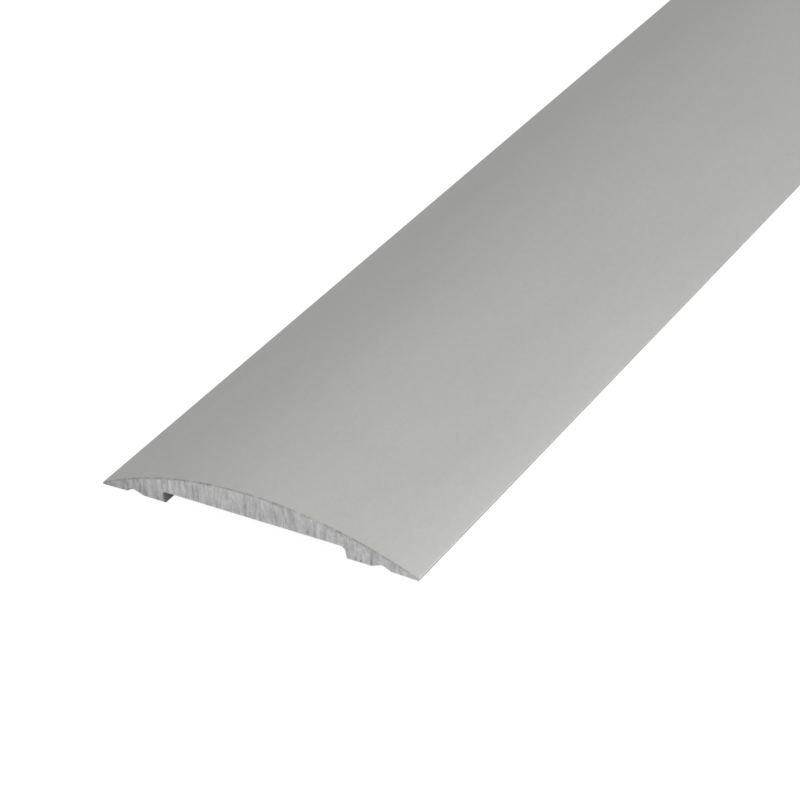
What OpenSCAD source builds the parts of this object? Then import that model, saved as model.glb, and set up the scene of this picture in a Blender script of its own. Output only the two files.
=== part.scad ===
// Domed threshold strip: an extruded aluminium bar that covers the joint between two floors.
// A double-sided foam tape sits in the recess under the bar, with a release liner on its lower face.
// +Y runs along the strip and +Z is up. The origin is under the middle of the strip, on the liner's face.

/* [Strip] */
// Length of the strip
strip_length = 900; // [300:50:2700]
// Width over the two long edges
strip_width = 38; // [34:1:60]
// Height from the feet to the crown
strip_height = 4.3; // [3.6:0.1:6]
// Radius of the rounded nose along each long edge
nose_radius = 0.12; // [0.08:0.02:0.2]

/* [Recess for the tape] */
// Width between the inner walls of the feet
recess_width = 21.7; // [20.6:0.1:23]
// Depth above the feet
recess_depth = 1.3; // [0.8:0.1:1.6]
// Radius where the walls meet the ceiling
recess_fillet = 0.4; // [0.2:0.1:0.6]

/* [Grooves between feet and wings] */
// Distance from the centreline to the middle of a groove
groove_offset = 14.85; // [14:0.05:15.5]
// Width of a groove at its mouth
groove_width = 2.2; // [1.6:0.1:2.6]
// Depth of a groove
groove_depth = 0.4; // [0.2:0.05:0.6]

/* [Tape] */
// Width of the tape
tape_width = 20; // [18:0.5:20]
// Thickness of the foam carrier
carrier_thickness = 1.4; // [1.3:0.1:2]
// Thickness of each coat of adhesive
adhesive_thickness = 0.05; // [0.04:0.01:0.1]
// Distance from each end of the strip to the tape
tape_setback = 5; // [0:0.5:20]

/* [Release liner] */
// Thickness of the liner
liner_thickness = 0.1; // [0.06:0.02:0.16]
// How far the liner stands past the tape at each end, to be picked up by
liner_overhang = 2; // [0:0.5:3]

/* [Hidden] */
$fn = 96;

tape_length = strip_length - 2 * tape_setback;
liner_length = tape_length + 2 * liner_overhang;

// Heights of the layers, from the liner's face up to the ceiling of the recess.
lower_adhesive_z = liner_thickness;
carrier_z = lower_adhesive_z + adhesive_thickness;
upper_adhesive_z = carrier_z + carrier_thickness;
ceiling_z = upper_adhesive_z + adhesive_thickness;
foot_z = ceiling_z - recess_depth;

// The crown is one arc, tangent to the nose circle at each long edge.
nose_x = strip_width / 2 - nose_radius;
nose_z = foot_z + nose_radius;
rise = strip_height - nose_radius;
crown_radius = (nose_x ^ 2 + rise ^ 2 - nose_radius ^ 2) / (2 * (rise - nose_radius));
crown_centre_z = foot_z + strip_height - crown_radius;
// Half-width out to the line where the crown runs into the nose.
tangent_x = nose_x * crown_radius / (crown_radius - nose_radius);

groove_radius = ((groove_width / 2) ^ 2 + groove_depth ^ 2) / (2 * groove_depth);

// Copies its children to the left and the right of the centreline.
module both_sides(x) {
    for (side = [-1, 1]) translate([side * x, 0]) children();
}

// A rectangle centred on the Z axis, with its lower edge at height z.
module standing_rect(width, height, z) {
    translate([-width / 2, z]) square([width, height]);
}

module dome_section() {
    intersection() {
        translate([0, crown_centre_z]) circle(r = crown_radius);
        union() {
            standing_rect(2 * nose_x, strip_height, foot_z);
            standing_rect(2 * tangent_x, strip_height, nose_z);
        }
    }
    both_sides(nose_x) translate([0, nose_z]) circle(r = nose_radius);
}

module recess_section() {
    cut_below = 1;
    standing_rect(recess_width, recess_depth - recess_fillet + cut_below, foot_z - cut_below);
    standing_rect(recess_width - 2 * recess_fillet, recess_depth + cut_below, foot_z - cut_below);
    both_sides(recess_width / 2 - recess_fillet)
        translate([0, ceiling_z - recess_fillet]) circle(r = recess_fillet);
}

module groove_section() {
    translate([0, foot_z + groove_depth - groove_radius]) circle(r = groove_radius);
}

// Draws a section in the XZ plane out to the given length, centred on the origin.
module along_strip(length) {
    rotate([90, 0, 0]) linear_extrude(height = length, center = true) children();
}

// The extruded bar: crown, two thin wings, two feet and the recess between them.
module strip_profile() {
    color("silver") along_strip(strip_length) difference() {
        dome_section();
        recess_section();
        both_sides(groove_offset) groove_section();
    }
}

// One flat layer of the tape, from height z up.
module tape_layer(z, thickness, length) {
    along_strip(length) standing_rect(tape_width, thickness, z);
}

module tape_upper_adhesive() {
    color("lightgray") tape_layer(upper_adhesive_z, adhesive_thickness, tape_length);
}

module tape_carrier() {
    color("dimgray") tape_layer(carrier_z, carrier_thickness, tape_length);
}

module tape_lower_adhesive() {
    color("lightgray") tape_layer(lower_adhesive_z, adhesive_thickness, tape_length);
}

module release_liner() {
    color("tan") tape_layer(0, liner_thickness, liner_length);
}

strip_profile();
tape_upper_adhesive();
tape_carrier();
tape_lower_adhesive();
release_liner();
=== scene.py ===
import math

import bpy
from mathutils import Matrix, Vector
from mathutils.geometry import delaunay_2d_cdt


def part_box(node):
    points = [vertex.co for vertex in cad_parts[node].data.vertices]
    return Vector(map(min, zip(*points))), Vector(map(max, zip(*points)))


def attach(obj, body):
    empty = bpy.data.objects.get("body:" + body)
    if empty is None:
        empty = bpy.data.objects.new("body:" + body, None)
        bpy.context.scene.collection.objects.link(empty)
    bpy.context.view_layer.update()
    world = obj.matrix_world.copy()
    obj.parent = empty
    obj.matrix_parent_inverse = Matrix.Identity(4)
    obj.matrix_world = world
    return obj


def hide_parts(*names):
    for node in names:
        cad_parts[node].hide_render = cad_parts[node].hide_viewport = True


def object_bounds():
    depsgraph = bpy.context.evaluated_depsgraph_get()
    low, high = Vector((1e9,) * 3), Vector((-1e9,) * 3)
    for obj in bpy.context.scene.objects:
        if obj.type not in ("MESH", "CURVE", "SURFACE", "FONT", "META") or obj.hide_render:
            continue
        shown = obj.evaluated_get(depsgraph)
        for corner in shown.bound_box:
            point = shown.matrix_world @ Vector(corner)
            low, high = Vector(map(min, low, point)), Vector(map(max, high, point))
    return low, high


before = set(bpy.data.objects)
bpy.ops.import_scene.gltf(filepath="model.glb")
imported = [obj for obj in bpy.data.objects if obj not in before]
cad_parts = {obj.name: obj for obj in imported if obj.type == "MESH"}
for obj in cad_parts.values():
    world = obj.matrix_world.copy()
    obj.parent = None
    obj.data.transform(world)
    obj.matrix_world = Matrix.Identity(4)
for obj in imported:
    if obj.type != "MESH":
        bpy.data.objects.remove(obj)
cad_low, cad_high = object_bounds()
scene = bpy.context.scene
mm = 0.001


# ---- Camera ----
# It stands in front of the near sawn end and to the right of the strip, and looks down along the top
# with a long lens. The roll makes the strip rise to the right.
near_end = Vector((0, cad_low.y, 0))
sight_point = near_end + Vector((0.95, 23.31, 0.58)) * mm
sight_distance = 225.3 * mm
sight_azimuth = math.radians(40.04)
sight_elevation = math.radians(33.0)
camera_roll = math.radians(-10.18)
lens_length = 101.1

backward = Vector((
    math.sin(sight_azimuth) * math.cos(sight_elevation),
    -math.cos(sight_azimuth) * math.cos(sight_elevation),
    math.sin(sight_elevation),
))
camera = bpy.data.objects.new("camera", bpy.data.cameras.new("camera"))
camera.data.sensor_width = 36
camera.data.lens = lens_length
camera.data.clip_start = 10 * mm
camera.data.clip_end = 50
camera.rotation_mode = "QUATERNION"
camera.location = sight_point + backward * sight_distance
level = backward.to_track_quat("Z", "Y")
camera.rotation_quaternion = level @ Matrix.Rotation(camera_roll, 3, "Z").to_quaternion()
scene.collection.objects.link(camera)
scene.camera = camera


# ---- Aluminium bar ----
# The bar is extruded from 6060 aluminium through a steel die, so that one section runs its whole length:
# a domed crown, two wings that thin out to a rounded nose, and a foot on each side of the tape's recess.
# It is cut to length with a circular saw, which leaves upright marks and a fine broken edge.
bar_low, bar_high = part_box("strip_profile")
bar_length = bar_high.y - bar_low.y
feet_z = bar_low.z
crown_height = 4.3 * mm
nose_radius = 0.12 * mm
recess_half_width = 10.85 * mm
recess_depth = 1.3 * mm
recess_fillet = 0.4 * mm
foot_corner_radius = 0.1 * mm
groove_inner_x, groove_top_x, groove_outer_x = 13.6 * mm, 14.95 * mm, 15.95 * mm
groove_corner_height = 0.52 * mm
groove_top_radius = 0.9 * mm
groove_mouth_radius = 0.6 * mm
outline_step = 0.15 * mm
cap_row_step = 0.4 * mm
nose_edge_scale = 0.25
edge_growth_length = 4 * mm
crease_angle = math.radians(28)
merge_distance = 0.015 * mm
saw_lean = 10.3
mark_slope = -0.18
end_shift = 17.0
cut_facing = 0.97


def put(tree, kind, values=(), **settings):
    """Adds a node. Its values are numbers or links, in the order of its sockets or by socket name, and
    a value of None leaves its socket as it is."""
    made = tree.nodes.new(kind)
    for name, value in settings.items():
        setattr(made, name, value)
    for key, value in values.items() if isinstance(values, dict) else enumerate(values):
        if isinstance(value, bpy.types.NodeSocket):
            tree.links.new(value, made.inputs[key])
        elif value is not None:
            made.inputs[key].default_value = value
    return made


def maths(tree, operation, *values):
    return put(tree, "ShaderNodeMath", values, operation=operation).outputs[0]


def scaled(tree, vector, value):
    values = {"Vector": vector, "Scale": value}
    return put(tree, "ShaderNodeVectorMath", values, operation="SCALE").outputs[0]


def on_arc(centre_x, centre_z, radius, start, end, steps):
    """Points on an arc, with its angles in degrees counted from +X towards +Z."""
    angles = [math.radians(start + (end - start) * i / steps) for i in range(steps + 1)]
    return [Vector((centre_x + radius * math.cos(a), centre_z + radius * math.sin(a))) for a in angles]


def rounded(before, corner, after, radius, steps=6):
    """Points on the arc that rounds a corner between two straight stretches."""
    to_before = (before - corner).normalized()
    to_after = (after - corner).normalized()
    half_angle = to_before.angle(to_after) / 2
    centre = corner + (to_before + to_after).normalized() * radius / math.sin(half_angle)
    start = corner + to_before * radius / math.tan(half_angle) - centre
    turn = start.angle_signed(corner + to_after * radius / math.tan(half_angle) - centre)
    points = []
    for i in range(steps + 1):
        angle = -turn * i / steps
        spoke = Matrix.Rotation(angle, 2) @ start
        points.append(centre + spoke)
    return points


def bar_outline():
    """The right half of the section, from the top of the crown round the nose to the recess's middle."""
    nose_x = bar_high.x - nose_radius
    rise = crown_height - nose_radius
    crown_radius = (nose_x ** 2 + rise ** 2 - nose_radius ** 2) / (2 * (rise - nose_radius))
    tangent = math.degrees(math.acos(nose_x / (crown_radius - nose_radius)))
    crown_steps = math.ceil(1.05 * bar_high.x / outline_step)
    crown_z = feet_z + crown_height - crown_radius
    half = on_arc(0, crown_z, crown_radius, 90, tangent, crown_steps)
    half += on_arc(nose_x, feet_z + nose_radius, nose_radius, tangent, -90, 10)[1:]
    corners = [
        (nose_x, 0, 0),
        (groove_outer_x, 0, groove_mouth_radius),
        (groove_top_x, groove_corner_height, groove_top_radius),
        (groove_inner_x, 0, groove_mouth_radius),
        (recess_half_width, 0, foot_corner_radius),
        (recess_half_width, recess_depth, recess_fillet),
        (0, recess_depth, 0),
    ]
    places = [Vector((x, feet_z + z)) for x, z, radius in corners]
    for i in range(1, len(corners) - 1):
        half += rounded(places[i - 1], places[i], places[i + 1], corners[i][2])
    half.append(places[-1])
    return half


def both_halves(half):
    """Closes a half outline with its mirror image across the centreline."""
    return half + [Vector((-p.x, p.y)) for p in reversed(half[1:-1])]


def spaced(outline, step):
    """The outline with its long stretches divided into equal parts no longer than step."""
    points = []
    for start, end in zip(outline, outline[1:] + outline[:1]):
        parts = max(1, math.ceil((end - start).length / step - 0.01))
        points += [start.lerp(end, i / parts) for i in range(parts)]
    return points


def heights_at(outline, x):
    """The lowest and highest crossing of an upright line with the outline."""
    crossings = []
    for start, end in zip(outline, outline[1:] + outline[:1]):
        if (start.x <= x) != (end.x <= x):
            crossings.append(start.lerp(end, (x - start.x) / (end.x - start.x)).y)
    return min(crossings), max(crossings)


def section_mesh(name, outline, column_step, row_step, edge_scale):
    """The section as a flat mesh for the cut ends, and as one face, the hoop, that is drawn out into the
    skin. The outline runs clockwise. The edge_out attribute points out of it and is 0 inside."""
    count = len(outline)
    inner = []
    left, right = min(p.x for p in outline), max(p.x for p in outline)
    columns = round((right - left) / column_step)
    for i in range(1, columns):
        x = left + (right - left) * (i + 0.5) / (columns + 1)
        low, high = heights_at(outline, x)
        rows = max(1, round((high - low) / row_step))
        inner += [Vector((x, low + (high - low) * j / rows)) for j in range(1, rows)]
    ring = [(i, (i + 1) % count) for i in range(count)]
    points, _, faces, *_ = delaunay_2d_cdt(outline + inner, ring, [list(range(count))], 1, 1e-8)
    hoop = [len(points) + i for i in range(count)]
    mesh = bpy.data.meshes.new(name)
    places = [(p.x, 0, p.y) for p in points + outline]
    mesh.from_pydata(places, [], [list(f) for f in faces] + [hoop[::-1]])
    is_hoop = mesh.attributes.new("hoop", "BOOLEAN", "FACE")
    is_hoop.data[len(faces)].value = True
    edge_out = mesh.attributes.new("edge_out", "FLOAT_VECTOR", "POINT")
    for i in range(count):
        along = (outline[(i + 1) % count] - outline[i - 1]).normalized()
        outward = Vector((-along.y, 0, along.x)) * edge_scale(outline[i])
        edge_out.data[i].vector = outward
        edge_out.data[hoop[i]].vector = outward
    return mesh


def thin_edge_scale(point):
    """The broken edge gets finer towards the noses, where the wing is too thin for a full one."""
    to_nose = bar_high.x - abs(point.x)
    return min(1, nose_edge_scale + to_nose / edge_growth_length)


def new_tree(name, *inputs):
    """A Geometry Nodes tree with a geometry socket and named inputs, each with its type."""
    tree = bpy.data.node_groups.new(name, "GeometryNodeTree")
    tree.interface.new_socket("Geometry", in_out="INPUT", socket_type="NodeSocketGeometry")
    for label, kind in inputs:
        tree.interface.new_socket(label, in_out="INPUT", socket_type="NodeSocket" + kind)
    tree.interface.new_socket("Geometry", in_out="OUTPUT", socket_type="NodeSocketGeometry")
    return tree, put(tree, "NodeGroupInput").outputs


def push(tree, mesh, selection, distance):
    """Extrudes the selected faces along +Y and returns the mesh and the selection of its new end."""
    along = put(tree, "ShaderNodeCombineXYZ", [0, 1, 0]).outputs[0]
    values = {"Mesh": mesh, "Selection": selection, "Offset": along, "Offset Scale": distance}
    values["Individual"] = False
    made = put(tree, "GeometryNodeExtrudeMesh", values, mode="FACES")
    return made.outputs["Mesh"], made.outputs["Top"]


def shifted(tree, mesh, selection, offset):
    values = {"Geometry": mesh, "Selection": selection, "Offset": offset}
    return put(tree, "GeometryNodeSetPosition", values).outputs[0]


def noise_at(tree, x, y, z, detail=2.0, roughness=0.6):
    place = put(tree, "ShaderNodeCombineXYZ", [x, y, z]).outputs[0]
    values = {"Vector": place, "Scale": 1.0, "Detail": detail, "Roughness": roughness}
    return put(tree, "ShaderNodeTexNoise", values).outputs["Fac"]


def extrusion_tree():
    """Extrudes a flat section along Y in rings, breaks its end edges, and marks its two cut ends."""
    tree, given = new_tree(
        "extrusion", ("Length", "Float"), ("Rings", "Int"), ("Edge Break", "Float"),
        ("Cut Depth", "Float"), ("Cut Pitch", "Float"), ("Side Depth", "Float"),
        ("Side Pitch", "Float"), ("Seed", "Float"), ("Skin", "Material"), ("Cut", "Material"),
    )
    half = maths(tree, "MULTIPLY", given["Length"], 0.5)
    start = put(tree, "ShaderNodeCombineXYZ", [0, maths(tree, "MULTIPLY", half, -1.0), 0]).outputs[0]
    hoop = put(tree, "GeometryNodeInputNamedAttribute", {"Name": "hoop"}, data_type="BOOLEAN").outputs[0]
    placed = shifted(tree, given["Geometry"], None, start)
    values = {"Geometry": placed, "Selection": hoop}
    ring_face, near_cut = put(tree, "GeometryNodeSeparateGeometry", values, domain="FACE").outputs
    to_far = put(tree, "ShaderNodeCombineXYZ", [0, given["Length"], 0]).outputs[0]
    far_cut = put(tree, "GeometryNodeFlipFaces", [shifted(tree, near_cut, None, to_far)]).outputs[0]
    flipped = put(tree, "GeometryNodeFlipFaces", [ring_face]).outputs[0]
    bar, end = push(tree, flipped, None, given["Edge Break"])

    broken = maths(tree, "MULTIPLY", given["Edge Break"], 2.0)
    plain = maths(tree, "SUBTRACT", given["Length"], broken)
    ring = maths(tree, "DIVIDE", plain, given["Rings"])
    repeat_in = tree.nodes.new("GeometryNodeRepeatInput")
    repeat_out = tree.nodes.new("GeometryNodeRepeatOutput")
    repeat_in.pair_with_output(repeat_out)
    repeat_out.repeat_items.new("BOOLEAN", "End")
    tree.links.new(given["Rings"], repeat_in.inputs["Iterations"])
    tree.links.new(bar, repeat_in.inputs["Geometry"])
    tree.links.new(end, repeat_in.inputs["End"])
    bar, end = push(tree, repeat_in.outputs["Geometry"], repeat_in.outputs["End"], ring)
    tree.links.new(bar, repeat_out.inputs["Geometry"])
    tree.links.new(end, repeat_out.inputs["End"])
    bar, end = push(
        tree, repeat_out.outputs["Geometry"], repeat_out.outputs["End"], given["Edge Break"]
    )
    values = {"Geometry": bar, "Selection": end}
    skin = put(tree, "GeometryNodeDeleteGeometry", values, domain="FACE", mode="ONLY_FACE").outputs[0]
    joined = tree.nodes.new("GeometryNodeJoinGeometry")
    for part in (near_cut, far_cut, skin):
        tree.links.new(part, joined.inputs[0])
    values = {"Geometry": joined.outputs[0], "Distance": merge_distance}
    closed = put(tree, "GeometryNodeMergeByDistance", values).outputs[0]

    # The outermost ring is drawn inwards, which breaks the edge of the cut.
    place = put(tree, "GeometryNodeInputPosition").outputs[0]
    x, y, z = put(tree, "ShaderNodeSeparateXYZ", [place]).outputs
    from_end = maths(tree, "SUBTRACT", half, maths(tree, "ABSOLUTE", y))
    at_end = maths(tree, "LESS_THAN", from_end, maths(tree, "MULTIPLY", given["Edge Break"], 0.5))
    side = maths(tree, "MULTIPLY_ADD", maths(tree, "SIGN", y), end_shift, given["Seed"])
    fine = maths(tree, "DIVIDE", 1.0, given["Cut Pitch"])
    coarse = maths(tree, "MULTIPLY", fine, 0.2)
    lean = maths(tree, "MULTIPLY_ADD", z, mark_slope, x)
    across = maths(tree, "MULTIPLY", lean, fine)
    upward = maths(tree, "MULTIPLY", z, coarse)
    ragged = noise_at(tree, across, side, maths(tree, "MULTIPLY", z, fine))
    share = maths(tree, "MULTIPLY_ADD", ragged, -0.5, -0.75)
    drawn = maths(tree, "MULTIPLY", given["Edge Break"], share)
    values = {"Name": "edge_out"}
    edge_out = put(tree, "GeometryNodeInputNamedAttribute", values, data_type="FLOAT_VECTOR").outputs[0]
    inset = scaled(tree, edge_out, drawn)
    bevelled = shifted(tree, closed, at_end, inset)

    # The faces of the cut and of its broken edge are marked before the saw marks tilt them.
    cut_face = maths(tree, "LESS_THAN", from_end, maths(tree, "MULTIPLY", given["Edge Break"], 0.9))
    normal = put(tree, "GeometryNodeInputNormal").outputs[0]
    facing = maths(tree, "ABSOLUTE", put(tree, "ShaderNodeSeparateXYZ", [normal]).outputs[1])
    on_edge = maths(tree, "MULTIPLY", cut_face, maths(tree, "LESS_THAN", facing, cut_facing))
    values = {"Geometry": bevelled, "Name": "broken_edge", "Value": on_edge}
    marked = put(
        tree, "GeometryNodeStoreNamedAttribute", values, data_type="FLOAT", domain="FACE"
    ).outputs[0]
    values = {"Geometry": marked, "Material": given["Skin"]}
    painted = put(tree, "GeometryNodeSetMaterial", values).outputs[0]
    values = {"Geometry": painted, "Selection": cut_face, "Material": given["Cut"]}
    painted = put(tree, "GeometryNodeSetMaterial", values).outputs[0]

    # Upright saw marks sink into the cut, and the skin is roughened along its edge_out directions.
    distance = put(tree, "ShaderNodeVectorMath", {"Vector": edge_out}, operation="LENGTH")
    inside = maths(tree, "LESS_THAN", distance.outputs["Value"], 0.001)
    streaks = noise_at(tree, across, side, upward, 3.0)
    bands = noise_at(tree, maths(tree, "MULTIPLY", lean, coarse), side, 0.0, 1.0)
    depth = maths(tree, "MULTIPLY", maths(tree, "ADD", streaks, bands), given["Cut Depth"])
    sunk = maths(tree, "MULTIPLY", depth, maths(tree, "MULTIPLY", maths(tree, "SIGN", y), -1.0))
    sunk = put(tree, "ShaderNodeCombineXYZ", [0, sunk, 0]).outputs[0]
    sawn = shifted(tree, painted, maths(tree, "MULTIPLY", at_end, inside), sunk)
    side_scale = maths(tree, "DIVIDE", 1.0, given["Side Pitch"])
    cells = noise_at(
        tree, maths(tree, "MULTIPLY", x, side_scale), maths(tree, "MULTIPLY", y, side_scale),
        maths(tree, "MULTIPLY", z, side_scale), 3.0,
    )
    rough = maths(tree, "MULTIPLY", cells, maths(tree, "MULTIPLY", given["Side Depth"], -1.0))
    roughened = shifted(tree, sawn, None, scaled(tree, edge_out, rough))

    # The corners of the section stay sharp, and so does the ring where the broken edge meets the skin.
    smooth = put(tree, "GeometryNodeSetShadeSmooth", {"Geometry": roughened, "Shade Smooth": True})
    edge_angle = put(tree, "GeometryNodeInputMeshEdgeAngle").outputs["Unsigned Angle"]
    corner = maths(tree, "GREATER_THAN", edge_angle, crease_angle)
    off_ring = maths(tree, "ABSOLUTE", maths(tree, "SUBTRACT", from_end, given["Edge Break"]))
    on_ring = maths(tree, "LESS_THAN", off_ring, maths(tree, "MULTIPLY", given["Edge Break"], 0.05))
    sharp = maths(tree, "MAXIMUM", corner, on_ring)
    values = {"Geometry": smooth.outputs[0], "Selection": sharp, "Shade Smooth": False}
    creased = put(tree, "GeometryNodeSetShadeSmooth", values, domain="EDGE").outputs[0]
    real = put(tree, "GeometryNodeRealizeInstances", {"Geometry": creased}).outputs[0]
    out = tree.nodes.new("NodeGroupOutput")
    tree.links.new(real, out.inputs[0])
    return tree


extrusion = extrusion_tree()


def extruded(name, section, **inputs):
    """Runs the extrusion tree on a section and returns the piece as a plain mesh."""
    section.materials.append(inputs["skin"])
    source = bpy.data.objects.new(name + "_section", section)
    scene.collection.objects.link(source)
    modifier = source.modifiers.new("extrusion", "NODES")
    modifier.node_group = extrusion
    for item in extrusion.interface.items_tree:
        label = item.name.replace(" ", "_").lower()
        if item.in_out == "INPUT" and label in inputs:
            modifier[item.identifier] = inputs[label]
    ready = source.evaluated_get(bpy.context.evaluated_depsgraph_get())
    mesh = bpy.data.meshes.new_from_object(ready)
    mesh.name = name
    bpy.data.objects.remove(source)
    piece = bpy.data.objects.new(name, mesh)
    scene.collection.objects.link(piece)
    return piece


def new_material(name, **constants):
    """A material with a Principled shader, its constant values set on the shader's own sockets."""
    material = bpy.data.materials.new(name)
    material.use_nodes = True
    shader = material.node_tree.nodes["Principled BSDF"]
    for label, value in constants.items():
        shader.inputs[label.replace("_", " ")].default_value = value
    return material, material.node_tree, shader


def grain(tree, pitch, detail=2.0, roughness=0.5, lean=0.0):
    """Noise fixed to the piece, with its pitch in millimetres and its lean about Y in degrees."""
    place = put(tree, "ShaderNodeTexCoord").outputs["Object"]
    values = {"Vector": place, "Rotation": (0, math.radians(lean), 0), "Scale": [p * mm for p in pitch]}
    mapped = put(tree, "ShaderNodeMapping", values, vector_type="TEXTURE").outputs[0]
    values = {"Vector": mapped, "Scale": 1.0, "Detail": detail, "Roughness": roughness}
    return put(tree, "ShaderNodeTexNoise", values).outputs["Fac"]


def between(tree, share, low, high):
    """A value that runs from low to high as share goes from 0.25 to 0.75, the usual reach of noise."""
    return put(tree, "ShaderNodeMapRange", [share, 0.25, 0.75, low, high]).outputs[0]


def roughen(tree, shader, height, distance, strength):
    """Bumps the shader's surface. A height of 1 stands out by the distance, in millimetres."""
    values = {"Height": height, "Distance": distance * mm, "Strength": strength}
    tree.links.new(put(tree, "ShaderNodeBump", values).outputs[0], shader.inputs["Normal"])


def anodised_aluminium():
    """Etched matt and anodised natural silver: fine speckle, mottle, faint die lines and slow clouds."""
    material, tree, shader = new_material("anodised_aluminium", Metallic=1.0)
    speckle = between(tree, grain(tree, (0.16, 0.16, 0.16), 3.0, 0.7), -0.026, 0.026)
    mottle = between(tree, grain(tree, (0.7, 0.9, 0.7), 3.0, 0.6), -0.012, 0.012)
    cloud = between(tree, grain(tree, (9, 22, 9)), -0.012, 0.012)
    die_lines = between(tree, grain(tree, (0.22, 60, 0.22)), -0.006, 0.006)
    level = maths(tree, "ADD", maths(tree, "ADD", speckle, mottle), maths(tree, "ADD", cloud, die_lines))
    level = maths(tree, "ADD", level, 0.62)
    tree.links.new(scaled(tree, (1.0, 1.0, 0.975), level), shader.inputs["Base Color"])
    roughness = between(tree, grain(tree, (0.2, 0.2, 0.2), 2.0), 0.46, 0.56)
    tree.links.new(roughness, shader.inputs["Roughness"])
    etched = grain(tree, (0.11, 0.11, 0.11), 3.0, 0.65)
    roughen(tree, shader, etched, 0.004, 0.35)
    return material


def sawn_aluminium():
    """Bare metal with upright saw marks, darkened towards the left by painted shade, and a darker grey
    line along the broken edge."""
    material, tree, shader = new_material("sawn_aluminium", Metallic=1.0)
    marks = between(tree, grain(tree, (0.42, 60, 3.0), 3.0, 0.65, saw_lean), 0.62, 1.06)
    smears = between(tree, grain(tree, (0.45, 60, 0.45), 3.0, 0.7, saw_lean), -0.13, 0.13)
    patches = between(tree, grain(tree, (2.6, 60, 2.6)), -0.05, 0.05)
    face = maths(tree, "ADD", maths(tree, "ADD", marks, smears), patches)
    scores = grain(tree, (0.3, 60, 1.6), 1.0, 0.5, saw_lean)
    scored = put(tree, "ShaderNodeMapRange", [scores, 0.62, 0.72, 1.0, 0.72]).outputs[0]
    # Painted shade: the cut is darkened towards its left end, to 0.72 of its level at the left nose.
    place = put(tree, "ShaderNodeTexCoord").outputs["Object"]
    x = put(tree, "ShaderNodeSeparateXYZ", [place]).outputs[0]
    left_painted_shade = put(tree, "ShaderNodeMapRange", [x, bar_low.x, bar_low.x * 0.45, 0.72, 1.0]).outputs[0]
    face = maths(tree, "MULTIPLY", maths(tree, "MULTIPLY", face, scored), left_painted_shade)
    # The broken edge is a darker grey than the cut, and varies along its length.
    edge_tone = between(tree, grain(tree, (0.6, 60, 0.6), 2.0, 0.7), 0.26, 0.54)
    broken = put(tree, "ShaderNodeAttribute", attribute_name="broken_edge").outputs["Fac"]
    values = {0: broken, 2: maths(tree, "MINIMUM", face, 1.0), 3: edge_tone}
    level = put(tree, "ShaderNodeMix", values, data_type="FLOAT").outputs[0]
    tree.links.new(scaled(tree, (1.0, 1.0, 1.0), level), shader.inputs["Base Color"])
    roughness = between(tree, grain(tree, (0.2, 60, 1.2), 2.0), 0.36, 0.55)
    tree.links.new(roughness, shader.inputs["Roughness"])
    scratches = grain(tree, (0.16, 60, 1.5), 3.0, 0.6, saw_lean)
    dents = grain(tree, (0.5, 60, 0.5))
    roughen(tree, shader, maths(tree, "ADD", scratches, dents), 0.02, 0.7)
    return material


outline = spaced(both_halves(bar_outline()), outline_step)
bar = extruded(
    "strip_bar",
    section_mesh("strip_section", outline, outline_step, cap_row_step, thin_edge_scale),
    length=bar_length,
    rings=18,
    edge_break=0.13 * mm,
    cut_depth=0.03 * mm,
    cut_pitch=0.35 * mm,
    side_depth=0.0,
    side_pitch=1 * mm,
    seed=3.0,
    skin=anodised_aluminium(),
    cut=sawn_aluminium(),
)
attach(bar, "strip")
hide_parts("strip_profile")


# ---- Foam tape ----
# A closed-cell PE foam carrier, die-cut to width, holds the strip down in its recess. Its top and bottom
# are flat against the adhesive, its slit sides are pitted with cut cells, and its ends are knife-cut.
tape_low, tape_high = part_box("tape_carrier")
tape_half_width = tape_high.x
side_step = 0.35 * mm
cell_size = 0.35 * mm
corner_gap = 0.01 * mm


def rectangle(low, high):
    """The outline of a flat layer, clockwise from its lower left corner."""
    corners = [(low.x, low.z), (low.x, high.z), (high.x, high.z), (high.x, low.z)]
    return [Vector(corner) for corner in corners]


def on_slit_side(point):
    """1 on the slit sides between the corners, 0 on the faces that the adhesive covers."""
    between_corners = tape_low.z + corner_gap < point.y < tape_high.z - corner_gap
    return 1.0 if between_corners and abs(point.x) > tape_half_width - corner_gap else 0.0


def pe_foam():
    """Charcoal closed-cell foam: cut cells show as pits with painted shade in them, darker than the
    walls between, with a dull skin.
    """
    material, tree, shader = new_material("pe_foam", Roughness=0.85, Specular_IOR_Level=0.3)
    place = put(tree, "ShaderNodeTexCoord").outputs["Object"]
    values = {"Vector": place, "Scale": 1 / cell_size, "Randomness": 0.9}
    cells = put(tree, "ShaderNodeTexVoronoi", values, feature="DISTANCE_TO_EDGE").outputs["Distance"]
    wall = put(tree, "ShaderNodeMapRange", [cells, 0.03, 0.28, 1.0, 0.0]).outputs[0]
    shade = between(tree, grain(tree, (2.2, 2.2, 2.2)), -0.012, 0.012)
    # Painted shade: the cell pits are coloured darker than the walls round them.
    level = maths(tree, "ADD", maths(tree, "MULTIPLY_ADD", wall, 0.05, 0.035), shade)
    tree.links.new(scaled(tree, (1.0, 1.0, 1.03), level), shader.inputs["Base Color"])
    roughen(tree, shader, wall, 0.05, 0.8)
    return material


foam = pe_foam()
carrier_outline = spaced(rectangle(tape_low, tape_high), side_step)
carrier = extruded(
    "foam_carrier",
    section_mesh("carrier_section", carrier_outline, 0.5 * mm, side_step, on_slit_side),
    length=tape_high.y - tape_low.y,
    rings=590,
    edge_break=0.1 * mm,
    cut_depth=0.06 * mm,
    cut_pitch=0.5 * mm,
    side_depth=0.16 * mm,
    side_pitch=2.2 * mm,
    seed=11.0,
    skin=foam,
    cut=foam,
)
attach(carrier, "strip")
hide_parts("tape_carrier")


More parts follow.
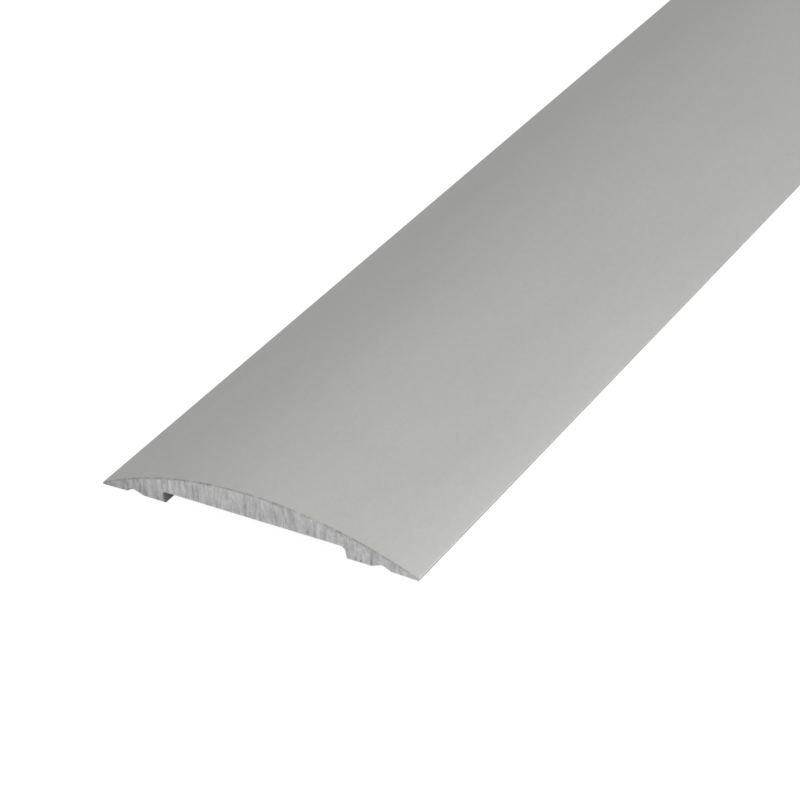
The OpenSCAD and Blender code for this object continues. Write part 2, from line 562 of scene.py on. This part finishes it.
# ---- Adhesive layers ----
# Clear acrylic pressure-sensitive adhesive, coated on both faces of the foam. Each film keeps its CAD
# shape, and shows as a milky gloss along the tape's edge.
def acrylic_adhesive():
    """Milky clear film with tiny trapped bubbles and coating streaks along the tape."""
    material, tree, shader = new_material("acrylic_adhesive", IOR=1.47, Transmission_Weight=0.35)
    bubbles = between(tree, grain(tree, (0.5, 0.5, 0.5), 3.0, 0.7), -0.05, 0.05)
    streaks = between(tree, grain(tree, (0.8, 70, 0.8)), 0.62, 0.72)
    level = maths(tree, "ADD", streaks, bubbles)
    tree.links.new(scaled(tree, (1.0, 0.985, 0.93), level), shader.inputs["Base Color"])
    roughness = between(tree, grain(tree, (1.1, 4.0, 1.1)), 0.16, 0.32)
    tree.links.new(roughness, shader.inputs["Roughness"])
    return material


adhesive = acrylic_adhesive()
for name in ("tape_upper_adhesive", "tape_lower_adhesive"):
    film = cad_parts[name]
    film.data.materials.clear()
    film.data.materials.append(adhesive)


# ---- Release liner ----
# Siliconised glassine paper covers the lower adhesive until the strip is fitted. It stands past the
# tape at both ends as tabs, and the near tab is lifted a little, ready to be gripped and drawn off
# along the strip.
liner_low, liner_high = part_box("release_liner")
tab_length = tape_low.y - liner_low.y
tab_lift = 0.22 * mm
tab_skew = 0.25
dense_length = tab_length * 1.5
liner_columns = 20
tab_rows, plain_rows = 12, 150


def liner_rows():
    """Places along the liner, close together in the tabs and far apart between them."""
    near_tab = [liner_low.y + dense_length * i / tab_rows for i in range(tab_rows)]
    far_tab = [-y for y in reversed(near_tab)]
    reach = near_tab[-1] + dense_length / tab_rows
    middle = [reach - 2 * reach * i / plain_rows for i in range(plain_rows + 1)]
    return near_tab + middle + far_tab


def glassine_paper():
    """Honey-brown glassine: dense fibres, slow patches of caliper and a smooth siliconised sheen."""
    material, tree, shader = new_material("glassine_paper", Coat_Weight=0.25, Coat_Roughness=0.3)
    fibres = between(tree, grain(tree, (0.1, 0.9, 0.1), 3.0, 0.7), -0.09, 0.09)
    formation = between(tree, grain(tree, (1.6, 2.0, 1.6), 4.0, 0.65), 0.9, 1.0)
    level = maths(tree, "ADD", formation, fibres)
    tree.links.new(scaled(tree, (0.60, 0.42, 0.22), level), shader.inputs["Base Color"])
    roughness = between(tree, grain(tree, (0.6, 0.6, 0.6), 3.0), 0.34, 0.48)
    tree.links.new(roughness, shader.inputs["Roughness"])
    felt = grain(tree, (0.18, 0.7, 0.18), 3.0, 0.6)
    roughen(tree, shader, felt, 0.006, 0.4)
    return material


rows = liner_rows()
loop = [(i, 0) for i in range(liner_columns + 1)] + [(i, 1) for i in range(liner_columns, -1, -1)]
paper_points, paper_faces = [], []
for y in rows:
    reach = max(0.0, (tape_low.y - y) / tab_length)
    for column, face in loop:
        x = liner_low.x + (liner_high.x - liner_low.x) * column / liner_columns
        skew = 1.0 + tab_skew * x / liner_high.x
        z = (liner_low.z, liner_high.z)[face] + tab_lift * skew * reach ** 2
        paper_points.append((x, y, z))
around = len(loop)
for row in range(len(rows) - 1):
    for i in range(around):
        start, after = row * around, (i + 1) % around
        paper_faces.append((start + i, start + around + i, start + around + after, start + after))
last = (len(rows) - 1) * around
for i in range(liner_columns):
    mirrored = around - 1 - i
    paper_faces.append((i, i + 1, mirrored - 1, mirrored))
    paper_faces.append((last + i + 1, last + i, last + mirrored, last + mirrored - 1))
liner_mesh = bpy.data.meshes.new("liner_paper")
liner_mesh.from_pydata(paper_points, [], paper_faces)
liner_mesh.materials.append(glassine_paper())
liner = bpy.data.objects.new("liner_paper", liner_mesh)
scene.collection.objects.link(liner)
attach(liner, "liner")
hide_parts("release_liner")


# ---- Floor, backdrop and lights ----
# A plain pale floor that runs out past every view, under a soft sky that is brightest high up over the
# near end. A softbox stands on the right of that end, so that the crown is shaded across its width.
floor_reach = 15
corners = [(-floor_reach, -floor_reach, 0), (floor_reach, -floor_reach, 0)]
corners += [(floor_reach, floor_reach, 0), (-floor_reach, floor_reach, 0)]
floor_mesh = bpy.data.meshes.new("floor")
floor_mesh.from_pydata(corners, [], [(0, 1, 2, 3)])
floor = bpy.data.objects.new("floor", floor_mesh)
scene.collection.objects.link(floor)
floor_glow = 0.94
floor_colour = (0.18, 0.18, 0.18, 1)
bounce_colour = (0.58, 0.58, 0.58, 1)
floor_paint, tree, shader = new_material("floor_paint", Roughness=0.9)
shader.inputs["Base Color"].default_value = floor_colour
shader.inputs["Emission Color"].default_value = (1, 1, 1, 1)
shader.inputs["Emission Strength"].default_value = floor_glow
bounced = put(tree, "ShaderNodeBsdfDiffuse", {"Color": bounce_colour}).outputs[0]
seen = put(tree, "ShaderNodeLightPath").outputs["Is Camera Ray"]
mixed = put(tree, "ShaderNodeMixShader", [seen, bounced, shader.outputs[0]]).outputs[0]
tree.links.new(mixed, tree.nodes["Material Output"].inputs["Surface"])
floor_mesh.materials.append(floor_paint)

sky_level = 0.29
sky_tilt = (-0.10, -0.29, 0.77)
world = bpy.data.worlds.new("studio")
scene.world = world
world.use_nodes = True
tree = world.node_tree
direction = put(tree, "ShaderNodeTexCoord").outputs["Generated"]
values = [direction, sky_tilt]
tilted = put(tree, "ShaderNodeVectorMath", values, operation="DOT_PRODUCT").outputs["Value"]
lit = maths(tree, "MAXIMUM", maths(tree, "ADD", tilted, sky_level), 0.0)
seen = put(tree, "ShaderNodeLightPath").outputs["Is Camera Ray"]
brightness = maths(tree, "MAXIMUM", lit, seen)
tree.links.new(brightness, tree.nodes["Background"].inputs["Strength"])
tree.nodes["Background"].inputs["Color"].default_value = (1, 1, 1, 1)

softbox_size = 250 * mm
softbox_power = 0.36
softbox_place = near_end + Vector((250, 150, 200)) * mm
softbox_aim = near_end + Vector((0, 30, 0)) * mm
softbox_light = bpy.data.lights.new("softbox", "AREA")
softbox_light.shape = "SQUARE"
softbox_light.size = softbox_size
softbox_light.energy = softbox_power
softbox = bpy.data.objects.new("softbox", softbox_light)
softbox.location = softbox_place
softbox.rotation_mode = "QUATERNION"
softbox.rotation_quaternion = (softbox_place - softbox_aim).to_track_quat("Z", "Y")
scene.collection.objects.link(softbox)

scene.view_settings.view_transform = "Standard"
